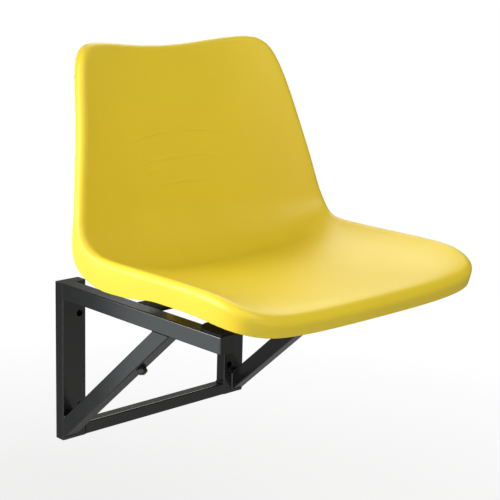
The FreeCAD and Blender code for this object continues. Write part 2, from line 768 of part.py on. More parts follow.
os.makedirs("parts", exist_ok=True)
for node in nodes:
    node.Shape.exportStep(os.path.join("parts", node.Label + ".step"))
    bounds = node.Shape.BoundBox
    print("%-20s solids %d volume %.0f x %.1f..%.1f y %.1f..%.1f z %.1f..%.1f" % (
        node.Label, len(node.Shape.Solids), node.Shape.Volume,
        bounds.XMin, bounds.XMax, bounds.YMin, bounds.YMax, bounds.ZMin, bounds.ZMax))
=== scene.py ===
import math

import bmesh
import bpy
from mathutils import Matrix, Vector


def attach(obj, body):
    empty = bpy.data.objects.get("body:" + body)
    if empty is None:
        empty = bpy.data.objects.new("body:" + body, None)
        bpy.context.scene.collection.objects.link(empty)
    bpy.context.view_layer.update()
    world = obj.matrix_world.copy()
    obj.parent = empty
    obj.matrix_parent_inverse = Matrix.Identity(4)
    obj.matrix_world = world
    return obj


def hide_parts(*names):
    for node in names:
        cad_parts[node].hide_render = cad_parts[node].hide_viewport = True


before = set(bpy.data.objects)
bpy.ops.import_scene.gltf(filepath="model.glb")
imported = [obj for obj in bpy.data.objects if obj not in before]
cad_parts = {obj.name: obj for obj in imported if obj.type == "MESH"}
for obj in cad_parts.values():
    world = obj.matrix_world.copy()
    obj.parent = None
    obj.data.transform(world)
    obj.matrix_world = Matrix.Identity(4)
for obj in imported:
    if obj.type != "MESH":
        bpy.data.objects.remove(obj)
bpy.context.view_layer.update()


# The camera looks at the seat from its right front and a little above, through a long lens,
# so that the sides of the bracket stay nearly parallel.
CAMERA_PLACE = Vector((-1.375604, -1.659628, 0.663300))
CAMERA_TURN = math.radians(136.1)
CAMERA_DIP = math.radians(13.36)
CAMERA_ROLL = math.radians(1.56)
CAMERA_LENS, CAMERA_SENSOR, CAMERA_NEAR = 97.92, 36, 0.05

ahead = Vector((math.sin(CAMERA_TURN) * math.cos(CAMERA_DIP),
                -math.cos(CAMERA_TURN) * math.cos(CAMERA_DIP), -math.sin(CAMERA_DIP)))
level = ahead.cross(Vector((0, 0, 1))).normalized()
upright = level.cross(ahead)
camera_x = level * math.cos(CAMERA_ROLL) + upright * math.sin(CAMERA_ROLL)
camera_y = upright * math.cos(CAMERA_ROLL) - level * math.sin(CAMERA_ROLL)
camera = bpy.data.objects.new("camera", bpy.data.cameras.new("camera"))
camera.data.lens = CAMERA_LENS
camera.data.sensor_width = CAMERA_SENSOR
camera.data.clip_start = CAMERA_NEAR
turned_camera = Matrix((camera_x, camera_y, -ahead)).transposed().to_4x4()
camera.matrix_world = Matrix.Translation(CAMERA_PLACE) @ turned_camera
bpy.context.scene.collection.objects.link(camera)
bpy.context.scene.camera = camera
bpy.context.scene.view_settings.view_transform = "Standard"


# Soft boxes light the seat. One stands high in front and one low, and one behind lights the
# front half of the pan over the backrest. A large one at the wall lights the near side, and two
# weak cards beside the bracket show in its gloss.
SEAT_MIDDLE = (0, -0.26, 0.2)
WARM_WHITE, PLAIN_WHITE, COOL_WHITE = (1.0, 0.99, 0.97), (1.0, 1.0, 1.0), (0.88, 0.96, 1.0)


def soft_box(name, place, aim, sides, power, colour):
    """A flat lamp that faces its aim. Places and sides are in metres, and power is in watts."""
    lamp = bpy.data.lights.new(name, "AREA")
    lamp.shape = "RECTANGLE"
    lamp.size, lamp.size_y = sides
    lamp.energy = power
    lamp.color = colour
    stand = bpy.data.objects.new(name, lamp)
    stand.location = place
    stand.rotation_mode = "QUATERNION"
    stand.rotation_quaternion = (Vector(aim) - Vector(place)).to_track_quat("-Z", "Y")
    stand.visible_camera = False
    bpy.context.scene.collection.objects.link(stand)


soft_box("front_box", (-0.5, -1.9, 2.35), SEAT_MIDDLE, (1.6, 1.6), 35, WARM_WHITE)
soft_box("low_box", (-0.6, -2.2, 0.0), SEAT_MIDDLE, (1.4, 1.4), 10, WARM_WHITE)
soft_box("rear_box", (1.30, 0.94, 1.50), SEAT_MIDDLE, (1.2, 1.2), 15.5, WARM_WHITE)
soft_box("wall_box", (-1.26, 0.16, 0.65), (-1.26, -1.0, 0.65), (1.25, 0.9), 37, PLAIN_WHITE)
soft_box("upper_card", (-0.68, 0.16, 0.20), (-0.68, -1.0, 0.20), (0.44, 0.2), 0.85, PLAIN_WHITE)
soft_box("lower_card", (-0.72, 0.16, -0.09), (-0.72, -1.0, -0.09), (0.56, 0.42), 0.76, COOL_WHITE)


# The room is plain white to the camera, and through anything clear. It gives the object an
# even, softer light, and shows dimly in its gloss.
ROOM_LIGHT = (0.26, 0.26, 0.26, 1)
ROOM_IN_GLOSS = (0.15, 0.15, 0.15, 1)
ROOM_SEEN = (1, 1, 1, 1)


class Wire:
    """A socket in a node tree. Arithmetic between wires and numbers adds the Math nodes."""

    def __init__(self, tree, socket=None):
        self.tree = tree
        self.socket = socket

    def node(self, kind, settings=None, ends=None, output=0):
        """Add a node: its settings first, then a value or a wire for each of its named sockets."""
        added = self.tree.nodes.new("ShaderNode" + kind)
        for name, value in (settings or {}).items():
            setattr(added, name, value)
        for name, value in (ends or {}).items():
            if isinstance(value, Wire):
                self.tree.links.new(value.socket, added.inputs[name])
            else:
                added.inputs[name].default_value = value
        return Wire(self.tree, added.outputs[output] if len(added.outputs) else None)

    def maths(self, operation, *values):
        """One Math node on this wire and other wires or numbers."""
        return self.node("Math", {"operation": operation}, dict(enumerate(values)))

    def __add__(self, other):
        return self.maths("ADD", self, other)

    __radd__ = __add__

    def __sub__(self, other):
        return self.maths("SUBTRACT", self, other)

    def __rsub__(self, other):
        return self.maths("SUBTRACT", other, self)

    def __mul__(self, other):
        return self.maths("MULTIPLY", self, other)

    __rmul__ = __mul__

    def __truediv__(self, other):
        return self.maths("DIVIDE", self, other)

    def clipped(self):
        """The same value, kept from 0 to 1."""
        return self.maths("MINIMUM", self.maths("MAXIMUM", self, 0.0), 1.0)

    def between(self, low, high):
        """The colour that lies this far between two others."""
        return self.node("Mix", {"data_type": "RGBA"}, {0: self, 6: low, 7: high}, output=2)


world = bpy.data.worlds.new("room")
bpy.context.scene.world = world
world.use_nodes = True
world.node_tree.nodes.clear()
room = Wire(world.node_tree)
seen = room.node("LightPath", output="Is Camera Ray")
mirrored = room.node("LightPath", output="Is Glossy Ray")
passed = room.node("LightPath", output="Is Transmission Ray")
dim = mirrored.between(ROOM_LIGHT, ROOM_IN_GLOSS)
in_view = (seen + passed).clipped()
background = room.node("Background", {}, {"Color": in_view.between(dim, ROOM_SEEN)})
room.node("OutputWorld", {}, {"Surface": background})


# The floor is a sheet of white paper well below the bracket. Near the seat it takes the soft
# shadow, and further out it runs into the white of the room. From below it can't be seen.
FLOOR_HEIGHT = -0.5
FLOOR_HALF = 9.0
PAPER = (0.9, 0.9, 0.9, 1)
PAPER_SHADE = (0.44, 0.44, 0.44, 1)
PAPER_GLOW = 0.75
SHADOW_REACH = 0.9
SHADOW_FADE = 0.8


def new_finish(name):
    """An empty material, and a wire on its node tree to start from."""
    material = bpy.data.materials.new(name)
    material.use_nodes = True
    material.node_tree.nodes.clear()
    return material, Wire(material.node_tree)


sheet_mesh = bpy.data.meshes.new("floor")
corners = [(-1, -1), (1, -1), (1, 1), (-1, 1)]
sheet_mesh.from_pydata([(x * FLOOR_HALF, y * FLOOR_HALF, FLOOR_HEIGHT) for x, y in corners],
                       [], [(0, 1, 2, 3)])
floor = bpy.data.objects.new("floor", sheet_mesh)
bpy.context.scene.collection.objects.link(floor)
paper, start = new_finish("paper")
lit_paper = start.node("BsdfDiffuse", {}, {"Color": PAPER})
far_paper = start.node("BsdfDiffuse", {}, {"Color": PAPER_SHADE})
white_paper = start.node("Emission", {}, {"Color": ROOM_SEEN, "Strength": 1.0})
distance = start.node("VectorMath", {"operation": "LENGTH"},
                      {0: start.node("TexCoord", output="Object")}, output="Value")
fade = ((distance - SHADOW_REACH) / SHADOW_FADE).clipped()
glow = fade * (1 - PAPER_GLOW) + PAPER_GLOW
seen = start.node("LightPath", output="Is Camera Ray")
facing = start.node("MixShader", {}, {0: glow, 1: lit_paper, 2: white_paper})
shown = start.node("MixShader", {}, {0: seen, 1: far_paper, 2: facing})
behind = start.node("NewGeometry", output="Backfacing")
clear = start.node("BsdfTransparent")
surface = start.node("MixShader", {}, {0: seen * behind, 1: shown, 2: clear})
start.node("OutputMaterial", {}, {"Surface": surface})
sheet_mesh.materials.append(paper)


# The seat shell is one injection moulding in yellow polypropylene: a dished pan and backrest
# with a rolled rim, and a skirt that hangs from the rim. The melt left a few faint level ripples
# across the backrest where it slowed in the mould. Sizes are in millimetres.
MM = 0.001
PAN_SET_BACK, PAN_HEIGHT = 179.4, 166.6
BACK_LENGTH, BACK_LEAN, BEND_RADIUS = 239.7, math.radians(12.4), 93.7
PAN_LENGTH, PAN_ANGLE = 275.4, math.radians(92.4)
FRONT_RADIUS, FRONT_TURN = 100.0, math.radians(15.4)
BEND_END = BACK_LENGTH + BEND_RADIUS * (PAN_ANGLE - BACK_LEAN)
PAN_END = BEND_END + PAN_LENGTH
FRONT_END = PAN_END + FRONT_RADIUS * FRONT_TURN
BEND_MIDDLE = (BACK_LENGTH + BEND_END) / 2
FRONT_CORNER = FRONT_END - 68.0
PAN_REAR = Vector((0, -PAN_SET_BACK, PAN_HEIGHT))
HALF_WIDTH = ((0, 185.0), (BACK_LENGTH / 2, 207.6), (BACK_LENGTH, 232.5), (BEND_MIDDLE, 238.7),
              (BEND_END, 232.9), (BEND_END + PAN_LENGTH / 3, 230.9), (FRONT_END, 236.8))
RIM_HEIGHT = ((0, 38.5), (BACK_LENGTH / 2, 50.6), (BACK_LENGTH, 53.9), (BEND_MIDDLE, 48.6),
              (BEND_END, 36.9), (FRONT_CORNER, 26.3), (FRONT_END, 10.7))
DISH_POWER = ((0, 2.5), (BACK_LENGTH, 2.5), (BEND_END, 3.5), (FRONT_END, 3.7))
SKIRT = ((0, 6.9), (BACK_LENGTH + 13.1, 6.9), (BACK_LENGTH + 118.1, 38.7), (BEND_END + 15, 35.8),
         (BEND_END + 61.5, 35.8), (BEND_END + 97.5, 27.6), (FRONT_CORNER, 27.6), (FRONT_END, 15.6))
FOLD_RADIUS = ((0, 8.8), (FRONT_END - 102, 8.8), (FRONT_END, 12.5))
DRAFT = ((BEND_END, 0.0), (BEND_END + 97.5, 5.3), (FRONT_CORNER, 5.3), (FRONT_END, 8.4))
TOP_CORNER, FRONT_OUTLINE = 15.3, 12.1
TOP_HUMP, HUMP_PLACE, FRONT_BOW = 7.0, 0.83, 3.7
SHELL_WALL = 4.0
RIBS_ON_A_SIDE = 24
INNER_RING = 0.41
OUTER_RINGS = (0.51, 0.61, 0.70, 0.78, 0.85, 0.91, 0.96)
FOLD_STEPS, SKIRT_STEPS = 5, 3
LIP_EASE = 0.9
STEP = 1e-3


def heading(angle):
    """Unit vector in the middle plane: straight down at 0, straight forward at 90 degrees."""
    return Vector((0, -math.sin(angle), -math.cos(angle)))


def arc_step(angle, radius, turn):
    """The step along an arc of the middle plane that sets out at that angle."""
    after = angle + turn
    step = Vector((0, math.cos(after) - math.cos(angle), math.sin(angle) - math.sin(after)))
    return step * radius


BACK_FOOT = PAN_REAR - arc_step(BACK_LEAN, BEND_RADIUS, PAN_ANGLE - BACK_LEAN)


def centre_line(along):
    """Point and direction that far along the shell's middle, 0 at the top of the back."""
    if along <= BACK_LENGTH:
        return BACK_FOOT - heading(BACK_LEAN) * (BACK_LENGTH - along), BACK_LEAN
    if along <= BEND_END:
        turn = (along - BACK_LENGTH) / BEND_RADIUS
        return BACK_FOOT + arc_step(BACK_LEAN, BEND_RADIUS, turn), BACK_LEAN + turn
    if along <= PAN_END:
        return PAN_REAR + heading(PAN_ANGLE) * (along - BEND_END), PAN_ANGLE
    turn = (PAN_END - along) / FRONT_RADIUS
    front = PAN_REAR + heading(PAN_ANGLE) * PAN_LENGTH
    return front - arc_step(PAN_ANGLE, FRONT_RADIUS, turn), PAN_ANGLE + turn


def eased(along, stations):
    """A smooth curve through (place, value) stations that never overshoots them."""
    if along <= stations[0][0]:
        return stations[0][1]
    if along >= stations[-1][0]:
        return stations[-1][1]
    slopes = [(high[1] - low[1]) / (high[0] - low[0]) for low, high in zip(stations, stations[1:])]
    tangents = [slopes[0]]
    for before, after in zip(slopes, slopes[1:]):
        tangents.append(2 * before * after / (before + after) if before * after > 0 else 0.0)
    tangents.append(slopes[-1])
    span = max(k for k in range(len(slopes)) if along >= stations[k][0])
    start, end = stations[span][0], stations[span + 1][0]
    t = (along - start) / (end - start)
    blend = t * t * (3 - 2 * t)
    value = stations[span][1] * (1 - blend) + stations[span + 1][1] * blend
    bulge = t * (1 - t) * (tangents[span] * (1 - t) - tangents[span + 1] * t)
    return value + bulge * (end - start)


def dish(across, along):
    """Point of the upper skin: across runs -1 to 1 between the rims, along is in millimetres."""
    middle, angle = centre_line(along)
    on_line = max(along, 0)
    rise = eased(on_line, RIM_HEIGHT) * abs(across) ** eased(on_line, DISH_POWER)
    up = Vector((0, -math.cos(angle), math.sin(angle)))
    return middle + Vector((across * eased(on_line, HALF_WIDTH), 0, 0)) + up * rise, angle


def along_of(across, down):
    """Place on the centre line for a point down the shell: -1 at the top edge, 1 at the front."""
    share = (down + 1) / 2
    hump = -TOP_HUMP * math.sin(math.pi / 2 * min(abs(across) / HUMP_PLACE, 1)) ** 2
    bow = -FRONT_BOW * across * across
    return hump * (1 - share) ** 3 + FRONT_END * share + bow * share ** 3


def skin(across, down):
    """Point of the upper skin, from -1 to 1 across the shell and down it."""
    return dish(across, along_of(across, down))[0]


def rounded_place(across, down, share=1.0):
    """Draw a point of the square into the outline, whose corners are round."""
    power = FRONT_OUTLINE if down > 0 else TOP_CORNER
    reach = (1 + abs(across * down) ** power) ** (1 / power)
    return across / reach * share, down / reach * share


def skin_normal(across, down):
    """Unit normal of the upper skin, pointing to the underside."""
    side_step = skin(across + STEP, down) - skin(across - STEP, down)
    down_step = skin(across, down + STEP) - skin(across, down - STEP)
    return side_step.cross(down_step).normalized()


def under_skin(across, down):
    """Point of the underside, one wall below the upper skin."""
    return skin(across, down) + skin_normal(across, down) * SHELL_WALL


def rim_frame(across, down):
    """At the outline: the point, the way out of the dish, and the way the skirt hangs."""
    point, angle = dish(across, along_of(across, down))
    turn = math.atan2(down, across)
    sides = []
    for way in (turn + STEP, turn - STEP):
        corner = Vector((math.cos(way), math.sin(way)))
        square = corner / max(abs(corner.x), abs(corner.y))
        sides.append(skin(*rounded_place(square.x, square.y)))
    edge_way = (sides[0] - sides[1]).normalized()
    out = point - skin(across * (1 - STEP), down * (1 - STEP))
    out = (out - edge_way * out.dot(edge_way)).normalized()
    hang_angle = min(angle, math.pi / 2)
    hang = Vector((0, math.cos(hang_angle), -math.sin(hang_angle)))
    hang = (hang - edge_way * hang.dot(edge_way)).normalized()
    outward = (out - hang * out.dot(hang)).normalized()
    draft = math.radians(eased(along_of(across, down), DRAFT))
    return point, out, hang * math.cos(draft) - outward * math.sin(draft)


def rib_points(across, down):
    """One line of the moulding: out over the skin, round the fold, down the skirt and back."""
    top = [skin(across * share, down * share) for share in OUTER_RINGS]
    under = [under_skin(across * share, down * share) for share in OUTER_RINGS]
    point, out, hang = rim_frame(across, down)
    sweep = math.acos(max(-1.0, min(1.0, out.dot(hang))))
    inward = (hang - out * math.cos(sweep)).normalized()
    radius = eased(along_of(across, down), FOLD_RADIUS)
    centre = point + inward * radius
    outer, inner = [], []
    for step in range(FOLD_STEPS + 1):
        angle = sweep * step / FOLD_STEPS
        spoke = out * math.sin(angle) - inward * math.cos(angle)
        outer.append(centre + spoke * radius)
        inner.append(centre + spoke * (radius - SHELL_WALL))
    drop = eased(along_of(across, down), SKIRT)
    falls = [drop * step / SKIRT_STEPS for step in range(1, SKIRT_STEPS)] + [drop - LIP_EASE, drop]
    outer += [outer[FOLD_STEPS] + hang * fall for fall in falls]
    inner += [inner[FOLD_STEPS] + hang * fall for fall in falls]
    return top + outer + inner[::-1] + under[::-1]


def join_rings(bm, rings, closed=True):
    """Faces between each row of points and the next one, all with the same count."""
    for ring, next_ring in zip(rings, rings[1:]):
        for k in range(len(ring) if closed else len(ring) - 1):
            after = (k + 1) % len(ring)
            bm.faces.new((ring[k], ring[after], next_ring[after], next_ring[k]))


half = RIBS_ON_A_SIDE // 2
spread = [(math.sin(k / half * math.pi / 2) + k / half) / 2 for k in range(-half, half + 1)]
bm = bmesh.new()
plates = []
for skin_side in (skin, under_skin):
    plate = [[bm.verts.new(skin_side(*rounded_place(u, v, INNER_RING)) * MM) for v in spread]
             for u in spread]
    join_rings(bm, plate, closed=False)
    plates.append(plate)
last = RIBS_ON_A_SIDE
ribs_at = [(last, k) for k in range(last)] + [(last - k, last) for k in range(last)]
ribs_at += [(0, last - k) for k in range(last)] + [(k, 0) for k in range(last)]
ribs = []
for a, b in ribs_at:
    way = rib_points(*rounded_place(spread[a], spread[b]))
    middle = [bm.verts.new(point * MM) for point in way]
    ribs.append([plates[0][a][b]] + middle + [plates[1][a][b]])
join_rings(bm, ribs + ribs[:1], closed=False)


def grain(start, size, detail=2.0, stretch=(1, 1, 1)):
    """Soft random shade from 0 to 1, with patches of about that size in metres."""
    where = start.node("TexCoord", output="Object")
    scaled = start.node("VectorMath", {"operation": "MULTIPLY"}, {0: where, 1: stretch})
    return start.node("TexNoise", {}, {"Vector": scaled, "Scale": 1 / size, "Detail": detail})


def coat(start, sockets):
    """Join a Principled shader with these values to the material's output."""
    shader = start.node("BsdfPrincipled", {}, sockets)
    start.node("OutputMaterial", {}, {"Surface": shader})


def bumps(start, height, strength, distance, base=None):
    """Fine relief from a shade of 0 to 1, whose full height is the distance in metres."""
    ends = {"Strength": strength, "Distance": distance, "Height": height}
    if base:
        ends["Normal"] = base
    return start.node("Bump", {}, ends)


def piece(name, bm, material, node=None):
    """Turn a finished bmesh into an object of the seat, in place of a CAD node if one is named."""
    bmesh.ops.recalc_face_normals(bm, faces=bm.faces)
    for face in bm.faces:
        face.smooth = True
    mesh = bpy.data.meshes.new(name)
    bm.to_mesh(mesh)
    bm.free()
    mesh.materials.append(material)
    made = bpy.data.objects.new(name, mesh)
    bpy.context.scene.collection.objects.link(made)
    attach(made, "root")
    if node:
        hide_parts(node)
    return made


YELLOW = (0.83, 0.636, 0.030, 1)
YELLOW_DEEP = (0.78, 0.579, 0.025, 1)
RIPPLES = ((352, -10, 125), (313, -3, 105), (298, -56, 20), (275, 2, 55))
RIPPLE_SAG, RIPPLE_HALF_WIDTH, RIPPLE_RISE, BACKREST_FROM = 0.00087, 4.0, 0.6, -120.0
yellow_plastic, start = new_finish("yellow_polypropylene")
peel = grain(start, 0.0022, 1.0)
flow = grain(start, 0.05, 2.0, (0.5, 1.0, 2.2))
where = start.node("TexCoord", output="Object")
face_normal = start.node("TexCoord", output="Normal")
across, depth, height = [start.node("SeparateXYZ", {}, {0: where}, output=axis) for axis in "XYZ"]
turned_back = start.node("SeparateXYZ", {}, {0: face_normal}, output="Y")
level_height = height + across * across * (RIPPLE_SAG / MM)
ripples = 0
for ripple_height, middle, reach in RIPPLES:
    aside = (across - middle * MM) / (reach * MM)
    above = (level_height - ripple_height * MM) / (RIPPLE_HALF_WIDTH * MM)
    ridge = (1 - start.maths("ABSOLUTE", above)).clipped()
    ripples = ridge * (1 - aside * aside).clipped() + ripples
on_backrest = start.maths("GREATER_THAN", depth, BACKREST_FROM * MM)
ripples = ripples * on_backrest * start.maths("LESS_THAN", turned_back, 0.0)
coat(start, {
    "Base Color": grain(start, 0.12).between(YELLOW_DEEP, YELLOW),
    "Roughness": flow * 0.10 + 0.40,
    "Normal": bumps(start, ripples, 1.0, RIPPLE_RISE * MM, bumps(start, peel, 0.06, 0.0005)),
    "Specular IOR Level": 0.45,
})
shell = piece("moulded_shell", bm, yellow_plastic, "seat_shell")
smooth = shell.modifiers.new("smooth", "SUBSURF")
smooth.levels = smooth.render_levels = 2


# Four round bosses of the shell's own plastic are moulded under the pan and carry the brass
# inserts. Each is a little wider where it runs into the skin, so that it draws out of the
# mould. A ring has its radius, and its height above the foot or its depth below the pan.
BOSS_ACROSS, BOSS_DEPTHS = 110.0, (-194.5, -349.5)
BOSS_FOOT, BOSS_RADIUS, BOSS_BORE = 135.0, 16.0, 6.05
BOSS_FOOT_RINGS = ((BOSS_BORE, 0), (15.2, 0), (15.8, 0.2), (BOSS_RADIUS, 0.8))
BOSS_TOP_RINGS = ((BOSS_RADIUS, 6.0), (16.4, 3.6), (17.6, 1.4), (20.0, -0.2), (21.5, -1.2))
BOSS_TURNS = 48
HALVINGS = 30


def pan_underside(x, y):
    """Height of the pan's underside straight above a point."""
    low, high = BEND_MIDDLE, FRONT_END
    for _ in range(HALVINGS):
        along = (low + high) / 2
        point = dish(x / eased(along, HALF_WIDTH), along)[0]
        low, high = (along, high) if point.y > y else (low, along)
    return point.z - SHELL_WALL


bm = bmesh.new()
for boss_y in BOSS_DEPTHS:
    for boss_x in (-BOSS_ACROSS, BOSS_ACROSS):
        rings = []
        for radius, offset in BOSS_FOOT_RINGS + BOSS_TOP_RINGS:
            at_foot = len(rings) < len(BOSS_FOOT_RINGS)
            ring = []
            for k in range(BOSS_TURNS):
                turn = 2 * math.pi * k / BOSS_TURNS
                x = boss_x + radius * math.cos(turn)
                y = boss_y + radius * math.sin(turn)
                z = BOSS_FOOT + offset if at_foot else pan_underside(x, y) - offset
                ring.append(bm.verts.new(Vector((x, y, z)) * MM))
            rings.append(ring)
        join_rings(bm, rings)
piece("shell_bosses", bm, yellow_plastic)


# The bracket is welded from square and rectangular steel tube and sprayed with a dark grey
# semi-gloss enamel. The two posts are its uprights, rectangular tubes with two holes each for
# the bolts that hold the bracket to the wall.
PAINT = (0.0082, 0.0088, 0.0088, 1)
PAINT_THIN = (0.0112, 0.012, 0.012, 1)
bracket_paint, start = new_finish("grey_enamel")
orange_peel = grain(start, 0.0016)
runs = grain(start, 0.03, 3.0)
coat(start, {
    "Base Color": runs.between(PAINT, PAINT_THIN),
    "Roughness": runs * 0.08 + 0.19,
    "Normal": bumps(start, orange_peel, 0.10, 0.0004),
    "Specular IOR Level": 0.85,
})


def repaint(material, *names):
    """Give CAD pieces a finish."""
    for name in names:
        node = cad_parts[name]
        node.data.materials.clear()
        node.data.materials.append(material)


repaint(bracket_paint, "left_post", "right_post")


# Thin steel plates close both ends of each post and keep the rain out. They are cut to the size
# of the tube, welded round its edge, ground flush and painted with the rest.
repaint(bracket_paint, "post_end_plates")


# The bottom rail is a square steel tube, cut square and welded between the feet of the two
# posts, flush with their fronts. It keeps them apart and is painted with the rest.
repaint(bracket_paint, "bottom_rail")


# The arms are square steel tubes that stand out from the tops of the posts and carry the seat.
# Each is cut square, welded to the post's front and painted with the rest.
repaint(bracket_paint, "left_arm", "right_arm")


# The braces are square steel tubes that carry the arms from the feet of the posts. Both ends
# are cut at a slant, so that they lie flat on the post and the arm, and are welded all round.
repaint(bracket_paint, "left_brace", "right_brace")


# The straps are flat steel bars in a dull paint: the rear one is welded between the
# arms, and the front one lies on top of their ends. Their sawn edges are dressed. Their
# near-black colour, darker than the bracket's enamel, is painted shade for the shade
# that falls on them under the shell.
STRAP_PAINTED_SHADE = (0.008, 0.0085, 0.0085, 1)
STRAP_PAINTED_SHADE_DEEP = (0.005, 0.0055, 0.0055, 1)
SAME_POINT, SHARP_EDGE = 0.00001, math.radians(40)


def dress(width, *names):
    """Round the sharp edges of CAD pieces to that width in metres."""
    for name in names:
        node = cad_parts[name]
        weld = node.modifiers.new("join", "WELD")
        weld.merge_threshold = SAME_POINT
        edge = node.modifiers.new("dressed_edge", "BEVEL")
        edge.width = width
        edge.segments = 2
        edge.limit_method = "ANGLE"
        edge.angle_limit = SHARP_EDGE


# Painted shade: the straps' base colour is kept near black to stand for the shade under the shell.
strap_painted_shade_finish, start = new_finish("dull_strap_paint_painted_shade")
mottle = grain(start, 0.02, 3.0)
coat(start, {
    "Base Color": mottle.between(STRAP_PAINTED_SHADE_DEEP, STRAP_PAINTED_SHADE),
    "Roughness": mottle * 0.1 + 0.55,
    "Normal": bumps(start, grain(start, 0.0016), 0.12, 0.0004),
    "Specular IOR Level": 0.15,
})
repaint(strap_painted_shade_finish, "rear_cross_strap", "front_cross_strap")
dress(0.0005, "rear_cross_strap", "front_cross_strap")


# The tubes and straps are joined by fillet welds, laid by hand in short overlapping ripples
# and painted over with the rest. Welds on outer faces are ground flush. Sizes in millimetres.
POST_FACE_Y, ARM_OUTER_X, ARM_INNER_X, POST_INNER_X = -20.0, 192.0, 167.0, 148.0
ARM_UNDERSIDE_Z, ARM_TOP_Z, RAIL_TOP_Z = 102.0, 127.0, -107.0
BRACE_ANGLE, BRACE_HEEL_Z, BRACE_SIDE = math.radians(41.9), -123.0, 25.0
REAR_STRAP_Y, REAR_STRAP_UNDER_Z = (-219.0, -170.0), 123.0
FRONT_STRAP_Y = (-376.0, -324.0)
WELD_LEG, WELD_RIPPLE, WELD_ROW, LEAST_ROWS, WELD_POINTS = 3.2, 2.0, 0.5, 8, 7
WELD_CROWN, CROWN_RIPPLE, LEG_RIPPLE, RIPPLE_LAG = 0.10, 0.06, 0.1, 0.8
LEAST_TAPER, WELD_SET_IN, WELD_STOP = 0.05, 0.8, 0.5
FORWARD, BACKWARD, UP, DOWN = (0, -1, 0), (0, 1, 0), (0, 0, 1), (0, 0, -1)


def on_brace(along, up):
    """Depth and height of a point that far along a brace's lower face and square above it."""
    return (POST_FACE_Y - along * math.cos(BRACE_ANGLE) + up * math.sin(BRACE_ANGLE),
            BRACE_HEEL_Z + along * math.sin(BRACE_ANGLE) + up * math.cos(BRACE_ANGLE))


def lay_weld(bm, start, end, on_first, on_second):
    """A rippled fillet in the corner from start to end, between the two faces' directions."""
    start, end = Vector(start), Vector(end)
    first, second = Vector(on_first).normalized(), Vector(on_second).normalized()
    length = (end - start).length
    way = (end - start) / length
    rows = max(LEAST_ROWS, round(length / WELD_ROW))
    sections = []
    for row in range(rows + 1):
        run = length * row / rows
        close = min(run, length - run) / WELD_LEG
        taper = math.sqrt(max(LEAST_TAPER, 1 - max(0.0, 1 - close) ** 2))
        section = [bm.verts.new((start + way * run) * MM)]
        for k in range(WELD_POINTS):
            t = k / (WELD_POINTS - 1)
            crown = math.sin(math.pi * t)
            ripple = abs(math.sin(math.pi * (run + RIPPLE_LAG * crown) / WELD_RIPPLE))
            size = WELD_LEG * taper * (1 - LEG_RIPPLE + LEG_RIPPLE * ripple)
            point = first * (1 - t) + second * t
            swell = crown * (WELD_CROWN + CROWN_RIPPLE * ripple)
            point += (first + second).normalized() * swell
            section.append(bm.verts.new((start + way * run + point * size) * MM))
        sections.append(section)
    join_rings(bm, sections)
    bm.faces.new(sections[0])
    bm.faces.new(sections[-1])


heel_top = on_brace(BRACE_SIDE * math.tan(BRACE_ANGLE), BRACE_SIDE)
head_run = ARM_UNDERSIDE_Z - BRACE_HEEL_Z
head_front = on_brace(head_run / math.sin(BRACE_ANGLE), 0)
rear_run = (head_run - BRACE_SIDE * math.cos(BRACE_ANGLE)) / math.sin(BRACE_ANGLE)
head_rear = on_brace(rear_run, BRACE_SIDE)
up_brace = (0, -math.cos(BRACE_ANGLE), math.sin(BRACE_ANGLE))
down_brace = (0, math.cos(BRACE_ANGLE), -math.sin(BRACE_ANGLE))
bm = bmesh.new()
for side in (-1, 1):
    inner, outer = side * ARM_INNER_X, side * (ARM_OUTER_X - WELD_SET_IN)
    inward = (-side, 0, 0)
    arm_corner = (inner, POST_FACE_Y, ARM_UNDERSIDE_Z)
    lay_weld(bm, arm_corner, (inner, POST_FACE_Y, ARM_TOP_Z - WELD_STOP), inward, FORWARD)
    lay_weld(bm, arm_corner, (outer, POST_FACE_Y, ARM_UNDERSIDE_Z), DOWN, FORWARD)
    heel_corner = (inner, POST_FACE_Y, BRACE_HEEL_Z)
    lay_weld(bm, heel_corner, (inner, POST_FACE_Y, heel_top[1]), inward, FORWARD)
    lay_weld(bm, (inner, *heel_top), (outer, *heel_top), UP, up_brace)
    lay_weld(bm, heel_corner, (outer, POST_FACE_Y, BRACE_HEEL_Z), DOWN, up_brace)
    lay_weld(bm, (inner, *head_rear), (outer, *head_rear), BACKWARD, down_brace)
    lay_weld(bm, (inner, *head_front), (outer, *head_front), FORWARD, down_brace)
    post = side * POST_INNER_X
    rail_front, rail_rear = POST_FACE_Y + 2 * WELD_STOP, -WELD_STOP
    lay_weld(bm, (post, rail_front, RAIL_TOP_Z), (post, rail_rear, RAIL_TOP_Z), UP, inward)
    for (front, rear), height in ((REAR_STRAP_Y, REAR_STRAP_UNDER_Z), (FRONT_STRAP_Y, ARM_TOP_Z)):
        lay_weld(bm, (inner, front, height), (inner, rear, height), DOWN, inward)
piece("weld_fillets", bm, bracket_paint)


# A black plastic cap is pushed into the open end of each arm. Its flange covers the tube's
# sawn edge, and its face shows the fine bite of the mould.
CAP_BLACK = (0.019, 0.021, 0.019, 1)
CAP_BLACK_DEEP = (0.014, 0.016, 0.0145, 1)
cap_plastic, start = new_finish("black_plastic")
coat(start, {
    "Base Color": grain(start, 0.01).between(CAP_BLACK_DEEP, CAP_BLACK),
    "Roughness": grain(start, 0.004) * 0.1 + 0.48,
    "Normal": bumps(start, grain(start, 0.0008), 0.10, 0.0003),
})
repaint(cap_plastic, "left_arm_cap", "right_arm_cap")
dress(0.0007, "left_arm_cap", "right_arm_cap")


